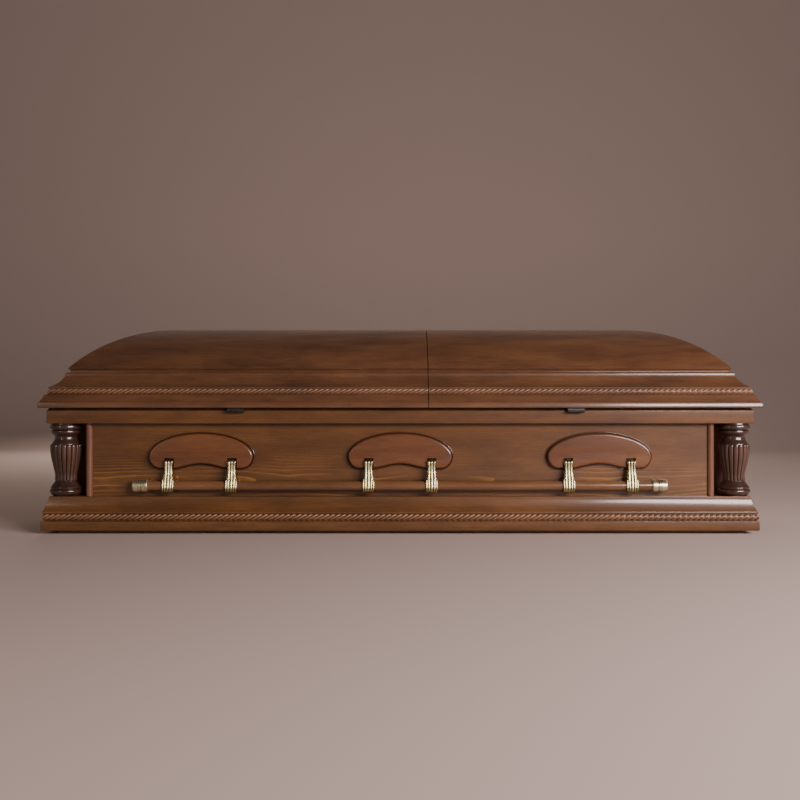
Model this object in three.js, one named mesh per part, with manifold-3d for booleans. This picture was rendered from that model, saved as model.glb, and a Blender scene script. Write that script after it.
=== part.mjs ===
// A half-couch funeral casket in stained hardwood, with a split domed lid, four
// gadrooned corner columns, kidney-shaped handle plates and brass swing-bar handles.
// Millimetres, +Z up. The front is at -Y, the head end at -X, and the origin is on
// the floor under the middle of the casket.

import * as THREE from 'three';
import { mergeVertices } from 'three/addons/utils/BufferGeometryUtils.js';
import Module from 'manifold-3d';

const wasm = await Module();
wasm.setup();

// Outer size of the lid rim. Insets are measured inwards from its outer faces, and
// a distance out is measured from the middle of the casket.
const HALF_LENGTH = 1050;
const HALF_WIDTH = 355;
const GAP = 0.3;
const MITRE_TRIM = 0.22;

// Heights above the floor
const BOARD_TOP = 20;
const BASE_BOTTOM = 10;
const BASE_TOP = 108.5;
const CAP_BOTTOM = 321.5;
const CAP_TOP = 366.5;
const LID_BOTTOM = 367;
const RIM_TOP = 471.5;
const CROWN_EDGE = 484;
const CROWN_TOP = 617.5;

// Walls of the shell
const PANEL_INSET = 46;
const PANEL_THICKNESS = 18;
const CAP_FACE_INSET = 19.7;
const CAP_INNER_INSET = 70;
const BASE_FACE_INSET = 6.5;

// Corner posts with their recess, and the columns that stand in it
const POST_WIDTH = 101;
const POST_WALL = 20;
const BEAD_RADIUS = 9.8;
const BEAD_SIDES = 12;
const COLUMN_INSET = 63;
const GADROONS = 18;

// Lid rim, crown, seam and header boards
const RIM_INNER_INSET = 62;
const RIM_INNER_TOP_INSET = 88;
const RIM_STRAIGHT_TOP = 400;
const CROWN_INSET = 67.5;
const CROWN_FOOT_INSET = 72.5;
const CROWN_WALL = 18;
const CROWN_HALF_STEPS = 9;
const SEAM = 83;
const SEAM_HALF_GAP = 1;
const HEADER_THICKNESS = 16;

// Beads on which the rope carving lies
const LID_BEAD = { inset: 28, height: 414.7, radius: 8.3 };
const BASE_BEAD = { inset: 16.6, height: 48.8, radius: 9.6 };

// Handle plates and their two slots
const PLATE_SPACING = 583.5;
const PLATE_HALF_LENGTH = 157;
const PLATE_WIDEST = 225;
const PLATE_RISE = 72;
const PLATE_DROP = 40.5;
const PLATE_CORNER = 38.5;
const PLATE_ARCH_HALF = 90;
const PLATE_ARCH_RISE = 14;
const PLATE_THICKNESS = 16;
const PLATE_ROUNDING = 6;
const SLOT = { width: 28.5, bottom: 193.5, top: 221.5 };

// Swing-bar handles: each arm hangs on its eye in a slot, and its socket holds the bar
const ARM_SPACING = 92;
const EYE = { out: 322, height: 205, radius: 9.3, width: 25, sides: 6 };
const BAR = { out: 330, height: 139.5, radius: 14, sides: 12 };
const SOCKET = { radius: 18.4, width: 30 };
const HANDLE_HALF_LENGTH = 779.5;
const END_CAP = { length: 44.5, radius: 19, bore: 28, groove: 1.8, grooveAt: 19 };

// Catches at the front, and one long hinge for each lid at the back
const CATCH = { width: 49, headX: -477, footX: 511 };
const HINGE = { out: 338.8, height: 363.3, radius: 3.2, leaf: 1.8, drop: 25, end: 50 };

const WOOD = new THREE.MeshStandardMaterial({ color: 0x6b4226, roughness: 0.42, metalness: 0 });
const DARK_WOOD = new THREE.MeshStandardMaterial({ color: 0x43271a, roughness: 0.3, metalness: 0 });
const BARE_WOOD = new THREE.MeshStandardMaterial({ color: 0x8a6742, roughness: 0.7, metalness: 0 });
const BRASS = new THREE.MeshStandardMaterial({ color: 0xa99a6c, roughness: 0.3, metalness: 1 });
const BLACK_STEEL = new THREE.MeshStandardMaterial({ color: 0x2c2620, roughness: 0.45, metalness: 1 });

const casket = new THREE.Group();

function add(name, geometry, material) {
  const mesh = new THREE.Mesh(geometry, material);
  mesh.name = name;
  casket.add(mesh);
  return mesh;
}

// Points, outlines and closed meshes

const flat = (x, y) => new THREE.Vector2(x, y);
const place = (x, y, z) => new THREE.Vector3(x, y, z);

function arc(centreX, centreY, radiusX, radiusY, fromDegrees, toDegrees, steps) {
  const points = [];
  for (let i = 0; i <= steps; i += 1) {
    const angle = THREE.MathUtils.degToRad(fromDegrees + ((toDegrees - fromDegrees) * i) / steps);
    points.push(flat(centreX + radiusX * Math.cos(angle), centreY + radiusY * Math.sin(angle)));
  }
  return points;
}

function meshFrom(positions, index) {
  const geometry = new THREE.BufferGeometry();
  geometry.setAttribute('position', new THREE.Float32BufferAttribute(positions, 3));
  geometry.setIndex(index);
  return geometry;
}

// Merges shared points, drops empty triangles and turns the faces outwards
function closed(geometry) {
  const bare = geometry.clone();
  bare.deleteAttribute('normal');
  bare.deleteAttribute('uv');
  const merged = mergeVertices(bare, 1e-4);
  const positions = merged.getAttribute('position').array;
  const corners = merged.getIndex().array;
  const vertex = (i) => new THREE.Vector3().fromArray(positions, 3 * i);
  const index = [];
  let volume = 0;
  for (let t = 0; t < corners.length; t += 3) {
    const [a, b, c] = corners.slice(t, t + 3);
    if (a !== b && b !== c && c !== a) {
      index.push(a, b, c);
      volume += vertex(a).dot(vertex(b).cross(vertex(c)));
    }
  }
  if (volume < 0) {
    index.reverse();
  }
  return meshFrom(positions, index);
}

// Joins rings of points into one solid. The outline is the first ring seen flat, and
// gives the triangles that close both ends.
function loft(outline, rings) {
  const count = outline.length;
  const index = [];
  for (let r = 0; r < rings.length - 1; r += 1) {
    for (let i = 0; i < count; i += 1) {
      const j = (i + 1) % count;
      const low = r * count;
      const high = low + count;
      index.push(low + i, low + j, high + j, low + i, high + j, high + i);
    }
  }
  const last = (rings.length - 1) * count;
  const turn = THREE.ShapeUtils.area(outline);
  for (const face of THREE.ShapeUtils.triangulateShape(outline, [])) {
    const sameWay = THREE.ShapeUtils.area(face.map((i) => outline[i])) * turn > 0;
    const [a, b, c] = sameWay ? face : [face[0], face[2], face[1]];
    index.push(a, c, b, last + a, last + b, last + c);
  }
  return closed(meshFrom(rings.flat().flatMap((p) => p.toArray()), index));
}

// A side view of distance out and height, drawn out along X
function alongX(outline, fromX, toX) {
  return loft(outline, [fromX, toX].map((x) => outline.map((p) => place(x, p.x, p.y))));
}

// A front view of X and height, drawn out along Y
function alongY(outline, fromY, toY) {
  return loft(outline, [fromY, toY].map((y) => outline.map((p) => place(p.x, y, p.y))));
}

// Points of radius and distance along, turned about a line along X at the front
function turned(profile, sides, { out, height }) {
  const lathe = new THREE.LatheGeometry(profile, sides);
  lathe.rotateZ(-Math.PI / 2);
  lathe.translate(0, -out, height);
  return closed(lathe);
}

function box(low, high) {
  const size = high.clone().sub(low);
  const middle = high.clone().add(low).divideScalar(2);
  return new THREE.BoxGeometry(...size.toArray()).translate(...middle.toArray());
}

function toSolid(geometry) {
  const mesh = closed(geometry);
  return new wasm.Manifold(new wasm.Mesh({
    numProp: 3,
    vertProperties: new Float32Array(mesh.getAttribute('position').array),
    triVerts: new Uint32Array(mesh.getIndex().array),
  }));
}

function toGeometry(solid) {
  const mesh = solid.getMesh();
  return meshFrom(Array.from(mesh.vertProperties), Array.from(mesh.triVerts));
}

// The four sides of the casket. A moulding's outline of insets and heights is laid on
// a side at a distance along it.
const SIDES = {
  front: { half: HALF_LENGTH, lay: (inset, along, z) => place(along, inset - HALF_WIDTH, z) },
  back: { half: HALF_LENGTH, lay: (inset, along, z) => place(-along, HALF_WIDTH - inset, z) },
  head: { half: HALF_WIDTH, lay: (inset, along, z) => place(inset - HALF_LENGTH, -along, z) },
  foot: { half: HALF_WIDTH, lay: (inset, along, z) => place(HALF_LENGTH - inset, along, z) },
};

// One length of moulding, mitred at both ends unless a square cut is given for one
function moulding(outline, sideName, squareFrom, squareTo) {
  const side = SIDES[sideName];
  const mitre = (p) => side.half - p.x - MITRE_TRIM;
  const start = outline.map((p) => side.lay(p.x, squareFrom ?? -mitre(p), p.y));
  const end = outline.map((p) => side.lay(p.x, squareTo ?? mitre(p), p.y));
  return loft(outline, [start, end]);
}

// Shell: bottom board, panels, base mouldings and cap mouldings

function baseOutline() {
  const { inset, height, radius } = BASE_BEAD;
  const face = BASE_FACE_INSET;
  const fillet = face + 0.5;
  const cove = new THREE.QuadraticBezierCurve(flat(8.6, 64.8), flat(14.5, 74.5), flat(19.5, 85));
  return [
    flat(PANEL_INSET - GAP, BASE_BOTTOM),
    flat(face + 4, BASE_BOTTOM),
    flat(face, BASE_BOTTOM + 4),
    flat(face, 35),
    flat(face + 3, 37.8),
    ...arc(inset, height, radius, radius, 232, 128, 4),
    flat(fillet, 59.4),
    flat(fillet, 64.8),
    ...cove.getPoints(2),
    flat(25, 105),
    flat(28.5, BASE_TOP),
    flat(PANEL_INSET - GAP, BASE_TOP),
  ];
}

function capOutline() {
  const face = CAP_FACE_INSET;
  return [
    flat(CAP_INNER_INSET, CAP_BOTTOM),
    flat(face + 1.5, CAP_BOTTOM),
    flat(face, CAP_BOTTOM + 1.5),
    flat(face, 357.5),
    flat(face + 1, 359),
    flat(face + 5.5, CAP_TOP),
    flat(CAP_INNER_INSET, CAP_TOP),
  ];
}

const panelOut = HALF_WIDTH - PANEL_INSET;
const panelEnd = HALF_LENGTH - PANEL_INSET;

function addBottomBoard() {
  const half = place(panelEnd - GAP, panelOut - GAP, 0);
  const top = place(half.x, half.y, BOARD_TOP);
  add('bottom_board', box(half.negate(), top), BARE_WOOD);
}

// Panels stand on the bottom board between the corner posts
function addPanels() {
  const low = BOARD_TOP + GAP;
  const high = CAP_BOTTOM - GAP;
  const x = panelEnd - POST_WIDTH - GAP;
  const y = panelOut - POST_WIDTH - GAP;
  const innerOut = panelOut - PANEL_THICKNESS;
  const innerEnd = panelEnd - PANEL_THICKNESS;
  add('front_panel', box(place(-x, -panelOut, low), place(x, -innerOut, high)), WOOD);
  add('back_panel', box(place(-x, innerOut, low), place(x, panelOut, high)), WOOD);
  add('head_panel', box(place(-panelEnd, -y, low), place(-innerEnd, y, high)), WOOD);
  add('foot_panel', box(place(innerEnd, -y, low), place(panelEnd, y, high)), WOOD);
}

function addShellMouldings() {
  for (const side of Object.keys(SIDES)) {
    add(`${side}_base_moulding`, moulding(baseOutline(), side), WOOD);
    add(`${side}_cap_moulding`, moulding(capOutline(), side), WOOD);
  }
}

// Corner posts and columns, made for the back foot corner and mirrored to the others

function mirrored(geometry, signX, signY) {
  return closed(geometry.clone().scale(signX, signY, 1));
}

// A half-round bead on an outer edge of the post, between the base and the cap
function postBead(x, y) {
  const length = CAP_BOTTOM - BASE_TOP - 2 * GAP;
  const bead = new THREE.CylinderGeometry(BEAD_RADIUS, BEAD_RADIUS, length, BEAD_SIDES);
  bead.rotateX(Math.PI / 2);
  bead.translate(x, y, (CAP_BOTTOM + BASE_TOP) / 2);
  return toSolid(bead);
}

// A square post with a recess for the column, its head narrowed to pass inside the cap
function postGeometry() {
  const x = panelEnd - POST_WIDTH;
  const y = panelOut - POST_WIDTH;
  const low = BOARD_TOP + GAP;
  const headInset = CAP_INNER_INSET + GAP;
  const stem = box(place(x, y, low), place(panelEnd, panelOut, CAP_BOTTOM - GAP));
  const headHigh = place(HALF_LENGTH - headInset, HALF_WIDTH - headInset, CAP_TOP);
  const head = box(place(x, y, BASE_TOP), headHigh);
  const recessLow = place(x + POST_WALL, y + POST_WALL, BASE_TOP);
  const recess = box(recessLow, place(panelEnd + 1, panelOut + 1, CAP_BOTTOM));
  return toGeometry(toSolid(stem)
    .add(toSolid(head))
    .subtract(toSolid(recess))
    .add(postBead(x + POST_WALL / 2, panelOut))
    .add(postBead(panelEnd, y + POST_WALL / 2)));
}

// The turned and carved column from foot to head: radius, height and depth of the flutes
function columnRows() {
  const foot = BASE_TOP + GAP;
  const head = CAP_BOTTOM - GAP;
  return [
    [41, foot, 0],
    [47, 120, 0],
    [42, 133, 0],
    [31.5, 152, 2],
    [34, 186, 5],
    [44, 228, 6],
    [44.6, 257, 3],
    [31.7, 277, 0],
    [41.5, 293, 0],
    [45.5, 304, 0],
    [45.5, head, 0],
  ];
}

// Rings of two points a gadroon, its crest and the valley beside it
function columnGeometry() {
  const around = 2 * GADROONS;
  const ring = ([radius, height, flute]) => {
    const points = [];
    for (let i = 0; i < around; i += 1) {
      const angle = (2 * Math.PI * i) / around;
      const reach = radius - (i % 2) * flute;
      points.push(place(reach * Math.cos(angle), reach * Math.sin(angle), height));
    }
    return points;
  };
  const outline = ring([1, 0, 0]).map((p) => flat(p.x, p.y));
  return loft(outline, columnRows().map(ring));
}

function addCorner(sideName, endName, signX, signY) {
  add(`${sideName}_${endName}_post`, mirrored(postGeometry(), signX, signY), WOOD);
  const column = add(`${sideName}_${endName}_column`, columnGeometry(), DARK_WOOD);
  column.position.x = signX * (HALF_LENGTH - COLUMN_INSET);
  column.position.y = signY * (HALF_WIDTH - COLUMN_INSET);
}

// Handle plates: half an ellipse above, round lower corners and a shallow arch between

function plateOutline() {
  const base = PLATE_WIDEST - PLATE_DROP;
  const crest = base + PLATE_ARCH_RISE;
  const cornerX = PLATE_HALF_LENGTH - PLATE_CORNER;
  const bend = PLATE_ARCH_HALF / 2;
  const arch = new THREE.CubicBezierCurve(
    flat(-PLATE_ARCH_HALF, base),
    flat(-bend, base),
    flat(-bend, crest),
    flat(0, crest),
  ).getPoints(4);
  const rightArch = arch.slice(0, -1).reverse().map((p) => flat(-p.x, p.y));
  return [
    ...arc(0, PLATE_WIDEST, PLATE_HALF_LENGTH, PLATE_RISE, 0, 180, 12),
    ...arc(-cornerX, PLATE_WIDEST, PLATE_CORNER, PLATE_DROP, 180, 270, 4).slice(1),
    ...arch,
    ...rightArch,
    ...arc(cornerX, PLATE_WIDEST, PLATE_CORNER, PLATE_DROP, 270, 360, 4).slice(0, -1),
  ];
}

// Moves each point of an outline inwards, square to the line between its neighbours
function insetOutline(outline, distance) {
  return outline.map((p, i) => {
    const before = outline.at(i - 1);
    const after = outline[(i + 1) % outline.length];
    const along = after.clone().sub(before).normalize();
    return flat(p.x - along.y * distance, p.y + along.x * distance);
  });
}

function plateGeometry() {
  const outline = plateOutline();
  const back = panelOut + GAP;
  const front = back + PLATE_THICKNESS;
  const ring = (points, out) => points.map((p) => place(p.x, -out, p.y));
  let plate = toSolid(loft(outline, [
    ring(outline, back),
    ring(outline, front - PLATE_ROUNDING),
    ring(insetOutline(outline, PLATE_ROUNDING), front),
  ]));
  for (const x of [-ARM_SPACING, ARM_SPACING]) {
    const low = place(x - SLOT.width / 2, -front - 1, SLOT.bottom);
    const high = place(x + SLOT.width / 2, 1 - back, SLOT.top);
    plate = plate.subtract(toSolid(box(low, high)));
  }
  return toGeometry(plate);
}

// Arms, bars and end caps, made for the front

function cylinderOnX(radius, half, sides, centre) {
  return toSolid(turned([
    flat(0, -half),
    flat(radius, -half),
    flat(radius, half),
    flat(0, half),
  ], sides, centre));
}

// The arm in level slices: height, back, front, half width and rise of its three ribs.
// It swells over the bar, and its lower slices wrap the front of the socket.
function neckGeometry() {
  const slices = [
    [207, 318, 331, 12.4, 0],
    [198, 326, 334, 11.6, 2.5],
    [178, 327.5, 335, 11.6, 3],
    [155, 327.5, 342.5, 17.6, 2],
    [BAR.height, BAR.out, 348, 18.1, 2.5],
    [124, BAR.out, 345, 16.8, 2],
    [115, BAR.out, 337.5, 14.6, 0],
  ];
  const across = [-1, -0.74, -0.4, 0, 0.4, 0.74, 1];
  const raised = [0, 1, 0, 1, 0, 1, 0];
  const rings = slices.map(([height, back, front, half, rise]) => [
    ...across.map((x, i) => place(x * half, -front - rise * raised[i], height)),
    place(half, -back, height),
    place(-half, -back, height),
  ]);
  return loft(rings[1].map((p) => flat(p.x, p.y)), rings);
}

// The bore for the bar passes right through, also where the arm is wider than its socket
function armGeometry() {
  return toGeometry(toSolid(neckGeometry())
    .add(cylinderOnX(EYE.radius, EYE.width / 2, EYE.sides, EYE))
    .add(cylinderOnX(SOCKET.radius, SOCKET.width / 2, BAR.sides, BAR))
    .subtract(cylinderOnX(BAR.radius + GAP, SOCKET.width, BAR.sides, BAR)));
}

function barGeometry() {
  const half = HANDLE_HALF_LENGTH - END_CAP.length + END_CAP.bore - 1;
  return toGeometry(cylinderOnX(BAR.radius, half, BAR.sides, BAR));
}

// A cup over the end of the bar, with a turned groove round it and a rounded end
function endCapGeometry(signX) {
  const { length, radius, bore, groove, grooveAt } = END_CAP;
  const innerRadius = BAR.radius + GAP;
  const cap = turned([
    flat(0, bore),
    flat(innerRadius, bore),
    flat(innerRadius, 0),
    flat(radius, 0),
    flat(radius, grooveAt - groove),
    flat(radius - groove, grooveAt),
    flat(radius, grooveAt + groove),
    flat(radius, length - 5),
    flat(radius - 5, length),
    flat(0, length),
  ], BAR.sides, BAR);
  cap.translate(HANDLE_HALF_LENGTH - length, 0, 0);
  return mirrored(cap, signX, 1);
}

const PLACES = { head: -PLATE_SPACING, middle: 0, foot: PLATE_SPACING };

// The handle of one long side. The back one is the front one turned half round, so
// its places along X change sign before the turn.
function addHandle(sideName, sign) {
  const fit = (name, geometry, x, material) => {
    const mesh = add(`${sideName}_${name}`, geometry, material);
    mesh.rotation.z = sign < 0 ? Math.PI : 0;
    mesh.position.x = x;
  };
  const plate = plateGeometry();
  const arm = armGeometry();
  for (const [name, x] of Object.entries(PLACES)) {
    fit(`${name}_handle_plate`, plate, x, WOOD);
    fit(`${name}_arm_1`, arm, x - ARM_SPACING, BRASS);
    fit(`${name}_arm_2`, arm, x + ARM_SPACING, BRASS);
  }
  fit('bar', barGeometry(), 0, WOOD);
  fit('bar_cap_head', endCapGeometry(-sign), 0, BRASS);
  fit('bar_cap_foot', endCapGeometry(sign), 0, BRASS);
}

// Lids: a rim moulding on three sides, a domed and hipped crown and a header board

function rimOutline() {
  const { inset, height, radius } = LID_BEAD;
  const cove = new THREE.QuadraticBezierCurve(flat(27.5, 426), flat(52.8, 443.2), flat(63, RIM_TOP));
  return [
    flat(RIM_INNER_INSET, LID_BOTTOM),
    flat(2, LID_BOTTOM),
    flat(0, LID_BOTTOM + 2.5),
    flat(0, 377),
    flat(1.3, 381.5),
    flat(4, 385),
    flat(15, 404.3),
    flat(18.5, 407.3),
    ...arc(inset, height, radius, radius, 228, 100, 4),
    ...cove.getPoints(4),
    flat(RIM_INNER_TOP_INSET, RIM_TOP),
    flat(RIM_INNER_INSET, RIM_STRAIGHT_TOP),
  ];
}

// The crown is an arc across its span, and its centre follows from the span and rise
const crownHalf = HALF_WIDTH - CROWN_INSET;
const crownRise = CROWN_TOP - CROWN_EDGE;
const crownRadius = (crownHalf ** 2 + crownRise ** 2) / (2 * crownRise);
const crownCentre = CROWN_TOP - crownRadius;

// Half of the arc, from an edge at a distance out up to the ridge
function halfArc(radius, edgeOut) {
  const edgeAngle = THREE.MathUtils.radToDeg(Math.asin(edgeOut / radius));
  return arc(0, crownCentre, radius, radius, 90 + edgeAngle, 90, CROWN_HALF_STEPS);
}

const mirroredOver = (half) => [...half, ...half.slice(0, -1).reverse().map((p) => flat(-p.x, p.y))];

// A vault across Y, open along X to the seam and hipped at the other end, where the same
// half section runs along X
function hippedVault(half, seamX, direction) {
  const outerX = direction * HALF_LENGTH;
  const across = alongX(mirroredOver(half), outerX, seamX);
  const beyond = seamX - direction;
  const along = alongY([
    ...half.map((p) => flat(outerX - direction * (HALF_WIDTH + p.x), p.y)),
    flat(beyond, half.at(-1).y),
    flat(beyond, half[0].y),
  ], -HALF_WIDTH, HALF_WIDTH);
  return toSolid(across).intersect(toSolid(along));
}

function crownGeometry(seamX, direction) {
  const foot = RIM_TOP + GAP;
  const footOut = CROWN_FOOT_INSET - HALF_WIDTH;
  const outer = hippedVault([
    flat(footOut, foot),
    flat(footOut, CROWN_EDGE - 1.5),
    ...halfArc(crownRadius, crownHalf),
  ], seamX, direction);
  const innerRadius = crownRadius - CROWN_WALL;
  const below = foot - 5;
  const belowOut = Math.sqrt(innerRadius ** 2 - (below - crownCentre) ** 2);
  const inner = hippedVault(halfArc(innerRadius, belowOut), seamX - 5 * direction, direction);
  return toGeometry(outer.subtract(inner));
}

// An arched board that closes the lid at the seam
function headerGeometry(seamX, direction) {
  const hip = HALF_WIDTH - RIM_INNER_INSET - GAP;
  const shoulder = HALF_WIDTH - RIM_INNER_TOP_INSET - GAP;
  const outline = mirroredOver([
    flat(-hip, LID_BOTTOM),
    flat(-hip, RIM_STRAIGHT_TOP),
    flat(-shoulder, RIM_TOP),
    ...halfArc(crownRadius - CROWN_WALL - 2 * GAP, shoulder),
  ]);
  return alongX(outline, seamX, seamX + direction * HEADER_THICKNESS);
}

function addLid(end, direction) {
  const seamX = SEAM + direction * SEAM_HALF_GAP;
  const towardsFoot = direction < 0;
  const frontCuts = towardsFoot ? [undefined, seamX] : [seamX, undefined];
  const backCuts = towardsFoot ? [-seamX, undefined] : [undefined, -seamX];
  add(`${end}_lid_front_rim`, moulding(rimOutline(), 'front', ...frontCuts), WOOD);
  add(`${end}_lid_back_rim`, moulding(rimOutline(), 'back', ...backCuts), WOOD);
  add(`${end}_lid_end_rim`, moulding(rimOutline(), end), WOOD);
  add(`${end}_lid_crown`, crownGeometry(seamX, direction), WOOD);
  add(`${end}_lid_header`, headerGeometry(seamX, direction), WOOD);
}

// A curled finger tab under the front rim of a lid
function addCatch(name, x) {
  const top = LID_BOTTOM - GAP;
  const outline = [
    flat(-338, top),
    flat(-349, top),
    flat(-351.5, 358),
    flat(-350.5, 354.5),
    flat(-347.5, 353),
    flat(-344.5, 354),
    flat(-342.5, 363.5),
    flat(-338, 364),
  ];
  add(name, alongX(outline, x - CATCH.width / 2, x + CATCH.width / 2), BLACK_STEEL);
}

// A long hinge: a leaf on the back face of the cap, and a barrel under the lid's overhang
function addHinge(name, fromX, toX) {
  const { out, height, radius, leaf, drop } = HINGE;
  const face = out - radius;
  const outline = [
    flat(face, height - drop),
    flat(face + leaf, height - drop),
    ...arc(out, height, radius, radius, -116, 180, 8),
  ];
  add(name, alongX(outline, fromX, toX), BRASS);
}

addBottomBoard();
addPanels();
addShellMouldings();
addCorner('front', 'head', -1, -1);
addCorner('front', 'foot', 1, -1);
addCorner('back', 'head', -1, 1);
addCorner('back', 'foot', 1, 1);
addHandle('front', 1);
addHandle('back', -1);
addLid('head', -1);
addLid('foot', 1);
addCatch('head_lid_catch', CATCH.headX);
addCatch('foot_lid_catch', CATCH.footX);
addHinge('head_lid_hinge', HINGE.end - HALF_LENGTH, SEAM - HINGE.end);
addHinge('foot_lid_hinge', SEAM + HINGE.end, HALF_LENGTH - HINGE.end);

export default casket;
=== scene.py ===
"""A half-couch funeral casket in stained and lacquered hardwood with pale brass swing-bar
handles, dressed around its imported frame. Sizes are in millimetres and become metres when a
mesh is made. A moulding's outline is a list of (inset from the lid rim's outer face, height).
"""

import math

import bmesh
import bpy
from mathutils import Matrix, Vector


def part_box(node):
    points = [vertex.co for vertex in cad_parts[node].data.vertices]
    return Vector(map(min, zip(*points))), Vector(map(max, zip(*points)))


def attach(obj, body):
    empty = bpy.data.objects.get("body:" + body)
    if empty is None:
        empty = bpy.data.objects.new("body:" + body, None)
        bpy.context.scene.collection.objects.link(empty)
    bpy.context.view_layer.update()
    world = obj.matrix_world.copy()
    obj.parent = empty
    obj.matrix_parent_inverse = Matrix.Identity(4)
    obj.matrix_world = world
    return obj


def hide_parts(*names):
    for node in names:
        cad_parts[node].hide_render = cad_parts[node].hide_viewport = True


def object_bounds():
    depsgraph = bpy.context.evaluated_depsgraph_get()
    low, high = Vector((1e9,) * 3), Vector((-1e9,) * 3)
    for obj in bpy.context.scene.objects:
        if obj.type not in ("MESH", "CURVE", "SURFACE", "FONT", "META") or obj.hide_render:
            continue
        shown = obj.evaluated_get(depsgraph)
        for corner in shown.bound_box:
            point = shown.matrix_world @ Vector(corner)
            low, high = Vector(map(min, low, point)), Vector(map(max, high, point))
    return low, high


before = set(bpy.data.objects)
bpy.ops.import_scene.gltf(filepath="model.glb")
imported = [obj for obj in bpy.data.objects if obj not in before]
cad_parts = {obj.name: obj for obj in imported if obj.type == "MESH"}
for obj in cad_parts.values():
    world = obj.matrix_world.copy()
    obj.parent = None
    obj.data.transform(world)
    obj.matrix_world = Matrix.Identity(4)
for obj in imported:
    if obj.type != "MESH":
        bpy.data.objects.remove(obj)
cad_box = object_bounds()

MM = 0.001

# Outer size of the lid rim, from the frame
HALF_LENGTH = cad_box[1][0] / MM
HALF_WIDTH = cad_box[1][1] / MM
CROWN_TOP = cad_box[1][2] / MM

# Heights and walls of the shell
BOARD_TOP = 20.0
BASE_BOTTOM = 10.0
BASE_TOP = 108.5
CAP_BOTTOM = 321.5
CAP_TOP = 366.5
LID_BOTTOM = 367.0
RIM_TOP = 471.5
CROWN_EDGE = 484.0
PANEL_INSET = 46.0
CAP_INNER_INSET = 70.0
JOINT_GAP = 0.3
MITRE_TRIM = 0.25
MOULDING_EASING = 0.5
CATCH_EASING = 0.6
CROWN_EASING = 0.7
EASED_ABOVE = 50.0
SEAM = 83.0
SEAM_HALF_GAP = 1.0

# Corner posts and columns
POST_WIDTH = 101.0
POST_WALL = 20.0
POST_BEAD = 9.8
POST_INNER_ROUNDING = 2.0
COLUMN_INSET = 63.0
GADROONS = 18
STEPS_PER_GADROON = 12

# Crown
CROWN_INSET = 66.4
CROWN_FOOT_INSET = 73.0
CROWN_WALL = 18.0
HIP_SOFTNESS = 2.5

# Ropes: a bed cut in the moulding, and a twisted rope lying in it
LID_ROPE = {"inset": 28.0, "height": 414.7, "radius": 8.3, "bed": 6.4}
BASE_ROPE = {"inset": 17.0, "height": 48.9, "radius": 10.0, "bed": 7.8}
ROPE = {"lead": 65.2, "strands": 4, "points_per_strand": 8, "steps_per_turn": 28, "depth": 0.5}
ROPE_HAND = -1.0

# Handle plates, arms and bars
PLATE_SPACING = 583.5
PLATE = {"half": 157.0, "widest": 225.0, "rise": 72.0, "drop": 40.5, "corner": 38.5}
PLATE_ARCH = {"half": 90.0, "rise": 14.0}
PLATE_THICKNESS = 16.0
SLOT = {"width": 28.5, "bottom": 193.5, "top": 220.0}
ARM_SPACING = 92.0
BAR = {"out": 330.0, "height": 139.5, "radius": 14.0}
SOCKET_RADIUS = BAR["radius"] + 4.4
HANDLE_HALF = 779.5
END_CAP = 44.5
END_CAP_DEPTH = 28.0
BAR_END_ROOM = 1.0

# Camera, as the photograph was taken: level, in front of the middle
CAMERA_HEIGHT = 390.0
CAMERA_DISTANCE = 3155.0
LENS = 43.56


# Small tools

def linear(hex_colour):
    """A colour written as sRGB hex, as linear red, green, blue and alpha."""
    channels = [int(hex_colour[i:i + 2], 16) / 255 for i in (1, 3, 5)]
    return [c / 12.92 if c <= 0.04045 else ((c + 0.055) / 1.055) ** 2.4 for c in channels] + [1.0]


def arc(centre, radius, start, end, steps):
    """Points on an arc from one angle to another, in degrees."""
    points = []
    for i in range(steps + 1):
        angle = math.radians(start + (end - start) * i / steps)
        points.append((centre[0] + radius * math.cos(angle), centre[1] + radius * math.sin(angle)))
    return points


def ellipse(centre, radii, start, end, steps):
    unit = arc((0, 0), 1, start, end, steps)
    return [(centre[0] + radii[0] * x, centre[1] + radii[1] * y) for x, y in unit]


def bend(start, pull, end, steps):
    """Points on a quadratic curve."""
    points = []
    for i in range(steps + 1):
        t = i / steps
        weights = ((1 - t) ** 2, 2 * t * (1 - t), t * t)
        points.append(tuple(sum(w * p[k] for w, p in zip(weights, (start, pull, end))) for k in (0, 1)))
    return points


def smooth_step(low, high, value):
    t = min(1.0, max(0.0, (value - low) / (high - low)))
    return t * t * (3 - 2 * t)


def interpolate(table, value):
    """Smooth reading of a table of (key, value) rows, with level tangents at its turns."""
    if value <= table[0][0]:
        return table[0][1]
    for row in range(len(table) - 1):
        (a, va), (b, vb) = table[row], table[row + 1]
        if value <= b:
            break
    else:
        return table[-1][1]

    def tangent(i):
        if i in (0, len(table) - 1):
            return 0.0
        before = (table[i][1] - table[i - 1][1]) / (table[i][0] - table[i - 1][0])
        after = (table[i + 1][1] - table[i][1]) / (table[i + 1][0] - table[i][0])
        return 0.0 if before * after <= 0 else 2 * before * after / (before + after)

    span = b - a
    t = (value - a) / span
    return ((2 * t ** 3 - 3 * t ** 2 + 1) * va + (t ** 3 - 2 * t ** 2 + t) * span * tangent(row)
            + (3 * t ** 2 - 2 * t ** 3) * vb + (t ** 3 - t ** 2) * span * tangent(row + 1))


# Meshes and pieces

def strip(bm, low, high, closed=True):
    count = len(low)
    for i in range(count if closed else count - 1):
        j = (i + 1) % count
        corners = [low[i], low[j], high[j], high[i]]
        if len(set(corners)) == 4:
            bm.faces.new(corners)


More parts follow.
